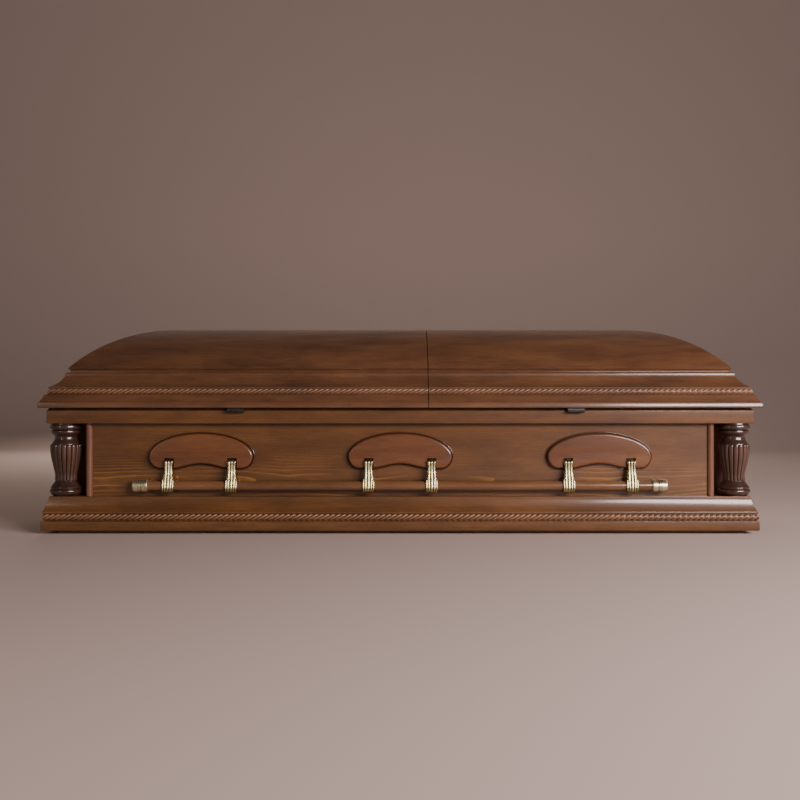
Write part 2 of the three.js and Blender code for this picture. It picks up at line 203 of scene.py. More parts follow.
def loft(rings):
    """A closed solid through rings of points in millimetres, with flat ends."""
    bm = bmesh.new()
    loops = [[bm.verts.new(Vector(p) * MM) for p in ring] for ring in rings]
    for low, high in zip(loops, loops[1:]):
        strip(bm, low, high)
    bm.faces.new(loops[0])
    bm.faces.new(loops[-1])
    bmesh.ops.recalc_face_normals(bm, faces=bm.faces)
    return bm


def turned(profile, sides):
    """A solid turned about the X axis from (along, radius) points that end on the axis."""
    bm = bmesh.new()
    loops = []
    for along, radius in profile:
        if radius <= 0:
            loops.append([bm.verts.new((along * MM, 0, 0))] * sides)
            continue
        loops.append([
            bm.verts.new(Vector((along, radius * math.cos(a), radius * math.sin(a))) * MM)
            for a in (2 * math.pi * i / sides for i in range(sides))
        ])
    for low, high in zip(loops, loops[1:]):
        for i in range(sides):
            j = (i + 1) % sides
            corners = list(dict.fromkeys([low[i], low[j], high[j], high[i]]))
            if len(corners) > 2:
                bm.faces.new(corners)
    bmesh.ops.recalc_face_normals(bm, faces=bm.faces)
    return bm


def moved(bm, matrix):
    bmesh.ops.transform(bm, matrix=matrix, verts=bm.verts)
    return bm


def joined(parts):
    """Several meshes as one, freeing the parts."""
    whole = bmesh.new()
    for part in parts:
        holder = bpy.data.meshes.new("part")
        part.to_mesh(holder)
        part.free()
        whole.from_mesh(holder)
        bpy.data.meshes.remove(holder)
    return whole


def piece(name, bm, material, body, replaces=(), crease=38.0):
    """Makes the finished piece, riding on a body and standing for the CAD nodes it replaces."""
    mesh = bpy.data.meshes.new(name)
    bm.to_mesh(mesh)
    bm.free()
    mesh.materials.append(material)
    mesh.shade_smooth()
    mesh.set_sharp_from_angle(angle=math.radians(crease))
    obj = bpy.data.objects.new(name, mesh)
    bpy.context.scene.collection.objects.link(obj)
    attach(obj, body)
    if replaces:
        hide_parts(*replaces)
    return obj


def eased(obj, width):
    """A small rounding of a piece's crisp arrises, as sanding and lacquer leave them."""
    bevel = obj.modifiers.new("eased arrises", "BEVEL")
    bevel.width = width * MM
    bevel.segments = 2
    bevel.limit_method = "ANGLE"
    bevel.angle_limit = math.radians(EASED_ABOVE)
    return obj


# Node trees

def node(tree, kind, links=None, **settings):
    """Adds a node, sets what settings names and joins links of input name to output socket."""
    made = tree.nodes.new(kind)
    for key, value in settings.items():
        setattr(made, key, value)
    for key, value in (links or {}).items():
        socket = made.inputs[key]
        if isinstance(value, bpy.types.NodeSocket):
            tree.links.new(value, socket)
        else:
            socket.default_value = value
    return made


def maths(tree, operation, first, second=None):
    links = {0: first} if second is None else {0: first, 1: second}
    return node(tree, "ShaderNodeMath", links, operation=operation).outputs["Value"]


def new_material(name):
    material = bpy.data.materials.new(name)
    material.use_nodes = True
    material.node_tree.nodes.clear()
    return material, material.node_tree


def ramp(tree, factor, stops):
    made = node(tree, "ShaderNodeValToRGB", {"Fac": factor})
    elements = made.color_ramp.elements
    while len(elements) < len(stops):
        elements.new(0.5)
    for element, (position, colour) in zip(elements, stops):
        element.position = position
        element.color = linear(colour)
    return made.outputs["Color"]


# Materials

GRAIN_TURNS = {"X": (0, 0, 0), "Y": (0, 0, math.pi / 2), "Z": (0, math.pi / 2, 0)}


def stained_hardwood(name, tones, along="X", figure=0.0, gloss=0.3, hollow_shade_crest_highlight=0.0, reach=7.0,
                     pith=(0.33, 0.13), edge=None, lighter_between=None):
    """Poplar or maple under brown wiping stain and sprayed lacquer. The stain gathers in soft
    patches and in fine straight streaks, pores run with the grain, and the satin lacquer lays a
    smooth coat over them. Growth rings lie about the pith, given as its distance across the
    grain and its height in metres, so that they open into arches beside it and close into
    straight lines away from it. Patterns are solid ones, so they run over edges as real grain.
    An edge gives the two depths in millimetres over which a painted shade along the edge fades
    out, lighter_between the two heights between which the colour is made lighter, and
    hollow_shade_crest_highlight how strongly painted shade darkens hollows and painted highlight
    lightens crests.
    """
    dark, middle, light, line = tones
    material, tree = new_material(name)
    place = node(tree, "ShaderNodeTexCoord").outputs["Object"]
    grain_place = node(tree, "ShaderNodeMapping", {
        "Vector": place, "Rotation": GRAIN_TURNS[along],
    }).outputs["Vector"]

    def noise(scale, detail, roughness=0.5):
        stretched = node(tree, "ShaderNodeMapping", {"Vector": grain_place, "Scale": scale})
        return node(tree, "ShaderNodeTexNoise", {
            "Vector": stretched.outputs["Vector"], "Scale": 1.0, "Detail": detail,
            "Roughness": roughness,
        })

    def mapped(value, low, high, new_low, new_high):
        return node(tree, "ShaderNodeMapRange", {
            "Value": value, "From Min": low, "From Max": high, "To Min": new_low, "To Max": new_high,
        }).outputs["Result"]

    def multiplied(colour, factor):
        return node(tree, "ShaderNodeMix", {
            "Factor": 1.0, 6: colour, 7: factor,
        }, data_type="RGBA", blend_type="MULTIPLY").outputs[2]

    # Stain patches some 250 mm long and 60 mm high, with smaller clouds over them
    patches = noise((4.5, 17.0, 17.0), 6.0, 0.66).outputs["Fac"]
    colour = ramp(tree, patches, [(0.28, dark), (0.5, middle), (0.72, light)])

    # Straight streaks 150 mm long and 5 mm high, with finer ones inside them
    streaks = noise((5.0, 230.0, 230.0), 4.0, 0.6).outputs["Fac"]
    colour = multiplied(colour, mapped(streaks, 0.3, 0.7, 0.89, 1.11))

    # Growth rings 7 mm apart, each with one sharp edge, stronger in some patches than in others
    if figure:
        wander = noise((2.4, 5.0, 5.0), 2.0, 0.4).outputs["Color"]
        wander_offset = node(tree, "ShaderNodeVectorMath", {
            0: wander, 1: (0.5, 0.5, 0.5),
        }, operation="SUBTRACT").outputs["Vector"]
        wander_scaled = node(tree, "ShaderNodeVectorMath", {
            0: wander_offset, 1: (0.0, 0.03, 0.035),
        }, operation="MULTIPLY").outputs["Vector"]
        strayed = node(tree, "ShaderNodeVectorMath", {0: grain_place, 1: wander_scaled})
        parts = node(tree, "ShaderNodeSeparateXYZ", {"Vector": strayed.outputs["Vector"]}).outputs
        across = maths(tree, "ABSOLUTE", parts["Y"])
        about_pith = node(tree, "ShaderNodeCombineXYZ", {
            "X": parts["X"],
            "Y": maths(tree, "SUBTRACT", across, pith[0]),
            "Z": maths(tree, "SUBTRACT", parts["Z"], pith[1]),
        }).outputs["Vector"]
        rings = node(tree, "ShaderNodeTexWave", {
            "Vector": about_pith, "Scale": 45.0, "Distortion": 0.8, "Detail": 1.0, "Detail Scale": 0.3,
        }, wave_type="RINGS", rings_direction="X", wave_profile="SAW").outputs["Fac"]
        ring_line = maths(tree, "POWER", rings, 7.0)
        ring_mask = mapped(noise((5.0, 14.0, 14.0), 1.0).outputs["Fac"], 0.4, 0.62, 0.1, 1.0)
        far = node(tree, "ShaderNodeVectorMath", {
            0: about_pith, 1: (0.0, 1.0, 1.0),
        }, operation="MULTIPLY")
        distance = node(tree, "ShaderNodeVectorMath", {
            0: far.outputs["Vector"],
        }, operation="LENGTH").outputs["Value"]
        near = mapped(distance, 0.035, 0.10, figure, 0.08 * figure)
        strength = maths(tree, "MULTIPLY", ring_mask, near)
        ring_amount = maths(tree, "MULTIPLY", ring_line, strength)
        colour = node(tree, "ShaderNodeMix", {
            "Factor": ring_amount, 6: colour, 7: linear(line),
        }, data_type="RGBA").outputs[2]

    # Pores: dark flecks about 1 mm wide and 25 mm long, drawn twice as coarse as real ones
    pores = noise((32.0, 620.0, 620.0), 2.0).outputs["Fac"]
    colour = multiplied(colour, mapped(pores, 0.36, 0.6, 0.88, 1.04))

    # Painted shade darkens the carved hollows and a painted highlight lightens the crests, both read
    # from ambient occlusion
    if hollow_shade_crest_highlight:
        shade = node(tree, "ShaderNodeAmbientOcclusion", {
            "Distance": reach * MM,
        }, samples=8, only_local=True).outputs["AO"]
        colour = multiplied(colour, mapped(shade, 0.45, 0.97, 1.0 - hollow_shade_crest_highlight, 1.0 + 0.4 * hollow_shade_crest_highlight))

    # Painted shade along a plate's edge moulding, full near the panel and fading out between the two
    # depths
    if edge:
        parts = node(tree, "ShaderNodeSeparateXYZ", {"Vector": place}).outputs
        depth = maths(tree, "ABSOLUTE", parts["Y"])
        colour = multiplied(colour, mapped(depth, edge[0] * MM, edge[1] * MM, 0.4, 1.0))
    # Colour made 1.7 times lighter between the two heights, and left unchanged outside them
    if lighter_between:
        height = node(tree, "ShaderNodeSeparateXYZ", {"Vector": place}).outputs["Z"]
        above = mapped(height, (lighter_between[0] - 3) * MM, (lighter_between[0] + 5) * MM, 1.0, 1.7)
        below = mapped(height, (lighter_between[1] - 5) * MM, (lighter_between[1] + 3) * MM, 1.0, 1 / 1.7)
        colour = multiplied(multiplied(colour, above), below)

    relief = node(tree, "ShaderNodeBump", {
        "Height": pores, "Strength": 0.05, "Distance": 0.0004,
    }).outputs["Normal"]
    roughness = mapped(patches, 0.3, 0.7, gloss + 0.14, gloss + 0.04)
    shader = node(tree, "ShaderNodeBsdfPrincipled", {
        "Base Color": colour, "Roughness": roughness, "Normal": relief, "IOR": 1.5,
        "Specular IOR Level": 0.25, "Coat Weight": 0.9, "Coat Roughness": gloss * 0.5, "Coat IOR": 1.5,
    })
    node(tree, "ShaderNodeOutputMaterial", {"Surface": shader.outputs["BSDF"]})
    return material


def pale_brass(name, roughness, tones=("#c3b985", "#d8ce9c"), tarnish=0.0):
    """Polished pale brass under clear lacquer: greenish straw in the light, olive in the dark,
    with faint turning and polishing marks that spread its highlights. Tarnish darkens grooves."""
    material, tree = new_material(name)
    place = node(tree, "ShaderNodeTexCoord").outputs["Object"]
    clouds = node(tree, "ShaderNodeTexNoise", {
        "Vector": place, "Scale": 60.0, "Detail": 3.0,
    }).outputs["Fac"]
    colour = ramp(tree, clouds, [(0.3, tones[0]), (0.7, tones[1])])
    if tarnish:
        shade = node(tree, "ShaderNodeAmbientOcclusion", {
            "Distance": 0.004,
        }, samples=8, only_local=True)
        open_share = node(tree, "ShaderNodeMapRange", {
            "Value": shade.outputs["AO"], "From Min": 0.45, "From Max": 0.9,
            "To Min": 1.0 - tarnish, "To Max": 1.0,
        }).outputs["Result"]
        colour = node(tree, "ShaderNodeMix", {
            "Factor": 1.0, 6: colour, 7: open_share,
        }, data_type="RGBA", blend_type="MULTIPLY").outputs[2]
    wear = node(tree, "ShaderNodeMapRange", {
        "Value": clouds, "From Min": 0.3, "From Max": 0.7,
        "To Min": roughness - 0.05, "To Max": roughness + 0.07,
    }).outputs["Result"]
    mark_place = node(tree, "ShaderNodeMapping", {
        "Vector": place, "Scale": (900.0, 200.0, 200.0),
    }).outputs["Vector"]
    marks = node(tree, "ShaderNodeTexNoise", {
        "Vector": mark_place, "Scale": 1.0, "Detail": 1.0,
    }).outputs["Fac"]
    relief = node(tree, "ShaderNodeBump", {
        "Height": marks, "Strength": 0.04, "Distance": 0.0002,
    }).outputs["Normal"]
    shader = node(tree, "ShaderNodeBsdfPrincipled", {
        "Base Color": colour, "Roughness": wear, "Metallic": 1.0, "Normal": relief,
    })
    node(tree, "ShaderNodeOutputMaterial", {"Surface": shader.outputs["BSDF"]})
    return material


def black_lacquered_steel(name):
    """Pressed steel under black stoving lacquer, smooth with a soft sheen and worn dull."""
    material, tree = new_material(name)
    place = node(tree, "ShaderNodeTexCoord").outputs["Object"]
    wear = node(tree, "ShaderNodeTexNoise", {
        "Vector": place, "Scale": 180.0, "Detail": 4.0,
    }).outputs["Fac"]
    colour = ramp(tree, wear, [(0.35, "#16120f"), (0.7, "#2b2420")])
    roughness = node(tree, "ShaderNodeMapRange", {
        "Value": wear, "To Min": 0.28, "To Max": 0.5,
    }).outputs["Result"]
    shader = node(tree, "ShaderNodeBsdfPrincipled", {
        "Base Color": colour, "Roughness": roughness, "IOR": 1.5,
    })
    node(tree, "ShaderNodeOutputMaterial", {"Surface": shader.outputs["BSDF"]})
    return material


def bare_board(name):
    """Planed softwood left unstained, with straight pale and tan bands along the board."""
    material, tree = new_material(name)
    place = node(tree, "ShaderNodeTexCoord").outputs["Object"]
    band_place = node(tree, "ShaderNodeMapping", {
        "Vector": place, "Scale": (1.2, 45.0, 45.0),
    }).outputs["Vector"]
    bands = node(tree, "ShaderNodeTexNoise", {
        "Vector": band_place, "Scale": 1.0, "Detail": 5.0, "Roughness": 0.65,
    }).outputs["Fac"]
    colour = ramp(tree, bands, [(0.3, "#7d5c39"), (0.5, "#a07c50"), (0.7, "#b8966a")])
    relief = node(tree, "ShaderNodeBump", {
        "Height": bands, "Strength": 0.15, "Distance": 0.0005,
    }).outputs["Normal"]
    shader = node(tree, "ShaderNodeBsdfPrincipled", {
        "Base Color": colour, "Roughness": 0.7, "Normal": relief,
    })
    node(tree, "ShaderNodeOutputMaterial", {"Surface": shader.outputs["BSDF"]})
    return material


LID_TONES = ("#462e20", "#5b3c27", "#69482e", "#8a5f34")
SHELL_TONES = ("#482b15", "#5b3a1c", "#6d4726", "#a87638")
PLATE_TONES = ("#4a2d1a", "#5a3620", "#67411f", "#8a5a34")
# The posts' tones are the shell stain made lighter, a painted highlight standing for the beads' sheen
POST_PAINTED_HIGHLIGHT_TONES = ("#5c3c2a", "#6e4834", "#7d5540", "#8a5a34")
BAR_TONES = ("#583c26", "#6b4a30", "#7c573a", "#8a5a34")
ROPE_TONES = ("#583d29", "#6a4a32", "#78563b", "#a87638")
COLUMN_TONES = ("#241611", "#312019", "#3f2a20", "#573523")

lid_wood = {side: stained_hardwood(f"stained lid wood, grain along {side}", LID_TONES, side)
            for side in "XY"}
moulding_wood = {side: stained_hardwood(f"stained moulding wood, grain along {side}", SHELL_TONES, side)
                 for side in "XY"}
panel_wood = {
    "X": stained_hardwood("stained side board, arched figure", SHELL_TONES, "X", 0.8, pith=(0.35, 0.15)),
    "Y": stained_hardwood("stained end board, arched figure", SHELL_TONES, "Y", 0.8, pith=(1.05, 0.17)),
}
post_wood = stained_hardwood("stained post wood, lightened as painted highlight", POST_PAINTED_HIGHLIGHT_TONES, "Z")
bar_wood = stained_hardwood("stained bar wood", BAR_TONES, gloss=0.24)
# The plate wood paints shade along its edge moulding and into its quirk
plate_wood = stained_hardwood("redder stained plate wood", PLATE_TONES, gloss=0.24, hollow_shade_crest_highlight=0.6,
                              reach=4.0, edge=(HALF_WIDTH - 45.0, HALF_WIDTH - 37.0))
# The rope woods paint shade into the hollows between strands and highlights on the strands' crests
carved_base = stained_hardwood("carved base rope, painted hollow shade and crest highlight", ROPE_TONES, gloss=0.7, hollow_shade_crest_highlight=1.0)
carved_lid = stained_hardwood("carved lid rope, painted hollow shade and crest highlight", ROPE_TONES, gloss=0.7, hollow_shade_crest_highlight=1.0)
# The column wood paints shade into its hollows and highlights on its crests, and is lighter over the
# gadroons
column_wood = stained_hardwood("dark gloss column wood", COLUMN_TONES, "Z", gloss=0.22, hollow_shade_crest_highlight=0.8,
                               reach=3.0, lighter_between=(156.0, 258.0))
arm_brass = pale_brass("tarnished pale brass of the arms", 0.27, ("#a89f76", "#beb58a"), 0.8)
cap_brass = pale_brass("polished pale brass of the end caps", 0.3, ("#ece3b8", "#f6efcf"), 0.6)
hinge_brass = pale_brass("dull hinge brass", 0.36)
black_steel = black_lacquered_steel("black lacquered steel")
board_wood = bare_board("bare planed board")


# Camera, floor and light

def add_camera():
    data = bpy.data.cameras.new("camera")
    data.lens = LENS
    data.sensor_width = 36.0
    camera = bpy.data.objects.new("camera", data)
    camera.location = Vector((0, -CAMERA_DISTANCE, CAMERA_HEIGHT)) * MM
    camera.rotation_euler = (math.pi / 2, 0, 0)
    bpy.context.scene.collection.objects.link(camera)
    bpy.context.scene.camera = camera


def add_floor():
    """A plain pale floor that turns up into a plain backdrop on one sweep."""
    half_span, front, back, bend_radius, top = 12000.0, -9000.0, 6200.0, 2000.0, 9000.0
    section = [(front, 0.0)]
    section += arc((back - bend_radius, bend_radius), bend_radius, -90, 0, 16)
    section += [(back, top)]
    bm = bmesh.new()
    sides = [[bm.verts.new(Vector((x, y, z)) * MM) for y, z in section]
             for x in (-half_span, half_span)]
    strip(bm, sides[0], sides[1], closed=False)
    bmesh.ops.recalc_face_normals(bm, faces=bm.faces)
    mesh = bpy.data.meshes.new("floor")
    bm.to_mesh(mesh)
    bm.free()
    mesh.shade_smooth()
    material, tree = new_material("plain pale paper")
    shader = node(tree, "ShaderNodeBsdfPrincipled", {
        "Base Color": linear("#bcaaa1"), "Roughness": 0.9, "Specular IOR Level": 0.2,
    })
    node(tree, "ShaderNodeOutputMaterial", {"Surface": shader.outputs["BSDF"]})
    mesh.materials.append(material)
    floor = bpy.data.objects.new("floor", mesh)
    bpy.context.scene.collection.objects.link(floor)


def add_light(name, place, target, size, power, colour):
    data = bpy.data.lights.new(name, "AREA")
    data.shape = "RECTANGLE"
    data.size, data.size_y = size
    data.energy = power
    data.color = linear(colour)[:3]
    light = bpy.data.objects.new(name, data)
    light.location = Vector(place)
    light.rotation_euler = (Vector(target) - Vector(place)).to_track_quat("-Z", "Y").to_euler()
    light.visible_camera = False
    bpy.context.scene.collection.objects.link(light)
    return light


def add_lights():
    """One large soft window low at the right in front, a narrow one at the left, a soft fill
    behind for views of the back, and a room that is bright at eye level and dark overhead."""
    add_light("window", (2.6, -3.1, 1.45), (0.5, -0.3, 0.25), (2.7, 0.95), 235.0, "#fff2f2")
    add_light("narrow window", (-2.4, -3.0, 1.2), (-0.6, -0.3, 0.25), (0.4, 1.6), 9.0, "#ffefd8")
    fill = add_light("back fill", (-0.8, 4.6, 1.9), (0.0, 0.3, 0.25), (3.6, 1.4), 110.0, "#fff0e6")
    fill.visible_glossy = False
    world = bpy.data.worlds.new("studio")
    bpy.context.scene.world = world
    world.use_nodes = True
    tree = world.node_tree
    direction = node(tree, "ShaderNodeTexCoord").outputs["Generated"]
    rise = node(tree, "ShaderNodeSeparateXYZ", {"Vector": direction}).outputs["Z"]
    sky = ramp(tree, rise, [(0.0, "#f6eae0"), (0.16, "#d8cac2"), (0.42, "#8e8480"), (0.75, "#6e6866")])
    background = tree.nodes["Background"]
    tree.links.new(sky, background.inputs["Color"])
    background.inputs["Strength"].default_value = 0.35


# Sides of the casket: how inset, distance along and height lie on each

SIDES = {
    "front": (HALF_LENGTH, lambda s, a, z: (a, s - HALF_WIDTH, z)),
    "back": (HALF_LENGTH, lambda s, a, z: (-a, HALF_WIDTH - s, z)),
    "head": (HALF_WIDTH, lambda s, a, z: (s - HALF_LENGTH, -a, z)),
    "foot": (HALF_WIDTH, lambda s, a, z: (HALF_LENGTH - s, a, z)),
}
SIDE_GRAIN = {"front": "X", "back": "X", "head": "Y", "foot": "Y"}


def moulding(outline, side, square_from=None, square_to=None):
    """One length of moulding, mitred at each end that isn't given a square cut."""
    half, lay = SIDES[side]
    starts = [square_from if square_from is not None else s + MITRE_TRIM - half for s, _ in outline]
    ends = [square_to if square_to is not None else half - s - MITRE_TRIM for s, _ in outline]
    return loft([[lay(s, a, z) for (s, z), a in zip(outline, row)] for row in (starts, ends)])


def rope_bed(place, start, end):
    return arc((place["inset"], place["height"]), place["bed"], start, end, 8)


def base_outline():
    inner = PANEL_INSET - JOINT_GAP
    return ([(inner, BASE_BOTTOM)]
            + arc((11.0, BASE_BOTTOM + 4.5), 4.5, 270, 180, 4)
            + arc((7.4, 36.4), 1.0, 178, 96, 3)
            + [(16.4, 37.2)]
            + rope_bed(BASE_ROPE, 266, 112)
            + [(13.2, 58.0), (11.0, 59.6), (10.0, 60.6), (10.0, 64.2), (10.3, 65.2)]
            + bend((10.6, 65.6), (19.9, 80.0), (24.4, 99.0), 16)
            + [(25.0, 105.6)]
            + arc((26.8, 106.7), 1.8, 175, 90, 3)
            + [(inner, BASE_TOP)])


def cap_outline():
    return ([(CAP_INNER_INSET, CAP_BOTTOM)]
            + arc((21.7, CAP_BOTTOM + 2.0), 2.0, 270, 180, 3)
            + arc((21.7, 358.0), 2.0, 180, 140, 3)
            + bend((20.6, 359.6), (23.0, 362.0), (25.2, CAP_TOP), 3)
            + [(CAP_INNER_INSET, CAP_TOP)])


def rim_outline():
    return ([(62.0, LID_BOTTOM)]
            + arc((2.6, LID_BOTTOM + 2.6), 2.6, 270, 180, 3)
            + bend((0.0, 371.0), (0.4, 378.0), (2.6, 383.4), 6)
            + arc((4.6, 382.9), 2.0, 160, 100, 2)
            + bend((4.9, 385.4), (10.0, 393.5), (14.6, 403.2), 6)
            + arc((17.6, 402.4), 3.0, 164, 92, 3)
            + rope_bed(LID_ROPE, 236, 112)
            + [(24.6, 422.0), (23.8, 423.4), (23.8, 426.8), (24.6, 427.8)]
            + bend((26.6, 428.2), (52.4, 441.0), (61.0, 463.6), 12)
            + arc((66.0, 466.3), 5.2, 164, 96, 4)
            + [(88.0, RIM_TOP), (62.0, 400.0)])


def post_piece(side, end, sign_x, sign_y):
    """A square post cut back in an L for its column, with a half-round bead on each outer edge."""
    x = HALF_LENGTH - PANEL_INSET - POST_WIDTH
    y = HALF_WIDTH - PANEL_INSET - POST_WIDTH
    far_x, far_y = x + POST_WIDTH, y + POST_WIDTH
    section = ([(x, y)]
               + arc((far_x, y + POST_WALL / 2), POST_BEAD, -90, 90, 18)
               + arc((x + POST_WALL + POST_INNER_ROUNDING, y + POST_WALL + POST_INNER_ROUNDING),
                     POST_INNER_ROUNDING, 270, 180, 3)
               + arc((x + POST_WALL / 2, far_y), POST_BEAD, 0, 180, 18))

    def block(outline, low, high):
        return loft([[(sign_x * a, sign_y * b, z) for a, b in outline] for z in (low, high)])

    def rectangle(ax, ay, bx, by):
        return [(ax, ay), (bx, ay), (bx, by), (ax, by)]

    head_x = HALF_LENGTH - CAP_INNER_INSET - JOINT_GAP
    head_y = HALF_WIDTH - CAP_INNER_INSET - JOINT_GAP
    stem = block(section, BASE_TOP + JOINT_GAP, CAP_BOTTOM - JOINT_GAP)
    foot = block(rectangle(x, y, far_x, far_y), BOARD_TOP + JOINT_GAP, BASE_TOP)
    head = block(rectangle(x, y, head_x, head_y), CAP_BOTTOM, CAP_TOP)
    name = f"{side}_{end}_post"
    piece(f"{name}_beaded", joined([stem, foot, head]), post_wood, "shell", [name])


# The column: radius of the bed by height, and height of the gadroons above it
COLUMN_BED = [
    (108.8, 36.0), (111.0, 40.0), (114.0, 43.5), (118.0, 45.8), (122.5, 46.6), (126.0, 45.6),
    (128.0, 43.8), (129.0, 42.4), (130.2, 43.6), (133.0, 43.9), (136.5, 41.8), (140.0, 38.8),
    (146.0, 34.6), (150.0, 32.0), (153.0, 30.2), (156.0, 28.6), (160.0, 27.7), (167.0, 27.4),
    (175.0, 27.9), (184.0, 29.9), (203.0, 34.0), (221.0, 37.8), (239.0, 39.8), (250.0, 40.2),
    (258.0, 40.6), (260.0, 41.0), (262.0, 40.4), (265.0, 38.2), (268.0, 36.0), (271.0, 34.2),
    (274.0, 33.0), (277.5, 32.2), (281.0, 31.7), (284.5, 33.0), (288.0, 36.2), (290.5, 39.0),
    (292.6, 40.9), (296.4, 41.7), (300.0, 41.0), (301.8, 38.8), (302.8, 41.0), (304.2, 43.6),
    (306.5, 45.0), (310.0, 45.6), (314.0, 45.1), (317.0, 43.4), (318.4, 41.6), (321.2, 41.0),
]
GADROON_RISE = [
    (152.0, 2.0), (156.0, 3.2), (163.0, 3.6), (184.0, 4.0), (221.0, 4.5), (245.0, 4.7), (259.5, 4.5),
]
GADROON_LOW, GADROON_HIGH = 152.5, 260.0
GADROON_END = 7.0
GADROON_ROUNDNESS = 2.4
COLUMN_STEPS = 96


def gadroon(height, across):
    """How far a gadroon stands out, with across from -1 to 1 over its width and round ends."""
    from_end = min(height - GADROON_LOW, GADROON_HIGH - height)
    if from_end <= 0:
        return 0.0
    end = max(0.0, 1 - from_end / GADROON_END)
    fall = abs(across) ** GADROON_ROUNDNESS + end ** GADROON_ROUNDNESS
    return interpolate(GADROON_RISE, height) * math.sqrt(max(0.0, 1 - fall))


def column_piece(side, end, sign_x, sign_y):
    centre_x = sign_x * (HALF_LENGTH - COLUMN_INSET)
    centre_y = sign_y * (HALF_WIDTH - COLUMN_INSET)
    low, high = COLUMN_BED[0][0], COLUMN_BED[-1][0]
    heights = {low + (high - low) * i / COLUMN_STEPS for i in range(COLUMN_STEPS + 1)}
    heights |= {key for key, _ in COLUMN_BED}
    for edge, step in ((GADROON_LOW, 1), (GADROON_HIGH, -1)):
        heights |= {edge + step * offset for offset in (0.01, 0.4, 1.0, 1.8, 2.8, 4.0, 5.4, 7.0)}
    around = GADROONS * STEPS_PER_GADROON
    rings = []
    for height in sorted(heights):
        bed = interpolate(COLUMN_BED, height)
        ring = []
        for i in range(around):
            angle = 2 * math.pi * i / around
            across = 2 * (i / STEPS_PER_GADROON + 0.5) % 2 - 1
            reach = bed + gadroon(height, across)
            ring.append((centre_x + reach * math.cos(angle), centre_y + reach * math.sin(angle),
                         height))
        rings.append(ring)
    name = f"{side}_{end}_column"
    piece(f"{name}_carved", loft(rings), column_wood, "shell", [name], crease=48)


# Handle plates

def plate_outline():
    half, widest = PLATE["half"], PLATE["widest"]
    base = widest - PLATE["drop"]
    corner_x = half - PLATE["corner"]
    corner = (PLATE["corner"], PLATE["drop"])
    arch_half, rise = PLATE_ARCH["half"], PLATE_ARCH["rise"]
    arch = []
    for i in range(1, 24):
        x = -arch_half + 2 * arch_half * i / 24
        arch.append((x, base + rise * (1 + math.cos(math.pi * x / arch_half)) / 2))
    return (ellipse((0, widest), (half, PLATE["rise"]), 0, 180, 60)
            + ellipse((-corner_x, widest), corner, 180, 270, 16)[1:]
            + [(-arch_half, base)] + arch + [(arch_half, base)]
            + ellipse((corner_x, widest), corner, 270, 360, 16)[:-1])


def inset_outline(outline, distance):
    """Each point moved inwards, square to the line between its neighbours."""
    moved_points = []
    for i, (x, z) in enumerate(outline):
        before = Vector(outline[i - 1])
        after = Vector(outline[(i + 1) % len(outline)])
        along = (after - before).normalized()
        moved_points.append((x - along.y * distance, z + along.x * distance))
    return moved_points


def plate_mesh():
    """The kidney shape with a rounded edge, a quirk and a thin bead at the panel, and two slots."""
    outline = plate_outline()
    back = HALF_WIDTH - PANEL_INSET + JOINT_GAP
    front = back + PLATE_THICKNESS
    edge = ([(0.0, back), (0.0, back + 1.8)] + arc((1.8, back + 1.9), 1.8, 160, 20, 5)
            + [(4.0, back + 0.8), (5.2, back + 0.8), (5.4, back + 3.0)]
            + arc((11.4, front - 6.0), 6.0, 180, 90, 8))
    rings = [[(x, -out, z) for x, z in inset_outline(outline, inset)] for inset, out in edge]
    holder = bpy.data.meshes.new("plate")
    loft(rings).to_mesh(holder)
    plate = bpy.data.objects.new("plate", holder)
    bpy.context.scene.collection.objects.link(plate)
    cutters = []
    for sign in (-1, 1):
        cutter = box_mesh((sign * ARM_SPACING - SLOT["width"] / 2, -front - 5, SLOT["bottom"]),
                          (sign * ARM_SPACING + SLOT["width"] / 2, 5 - back, SLOT["top"]))
        cutters.append(cut_away(plate, cutter))
    result = evaluated(plate)
    for helper in (plate, *cutters):
        bpy.data.objects.remove(helper)
    return result


def box_mesh(low, high):
    corners = ((low[0], low[1]), (high[0], low[1]), (high[0], high[1]), (low[0], high[1]))
    return loft([[(x, y, z) for x, y in corners] for z in (low[2], high[2])])


def cut_away(target, bm):
    """Adds an exact boolean cut to the target, and gives back the cutter to be removed later."""
    mesh = bpy.data.meshes.new("cutter")
    bm.to_mesh(mesh)
    bm.free()
    cutter = bpy.data.objects.new("cutter", mesh)
    bpy.context.scene.collection.objects.link(cutter)
    cut = target.modifiers.new("cut", "BOOLEAN")
    cut.object = cutter
    cut.operation = "DIFFERENCE"
    cut.solver = "EXACT"
    return cutter


def evaluated(obj):
    """A plain mesh of the object with its modifiers applied, as a bmesh."""
    graph = bpy.context.evaluated_depsgraph_get()
    graph.update()
    mesh = bpy.data.meshes.new_from_object(obj.evaluated_get(graph))
    bm = bmesh.new()
    bm.from_mesh(mesh)
    bpy.data.meshes.remove(mesh)
    return bm


# Arms, with ribs that run down from the slot and lean in over the socket

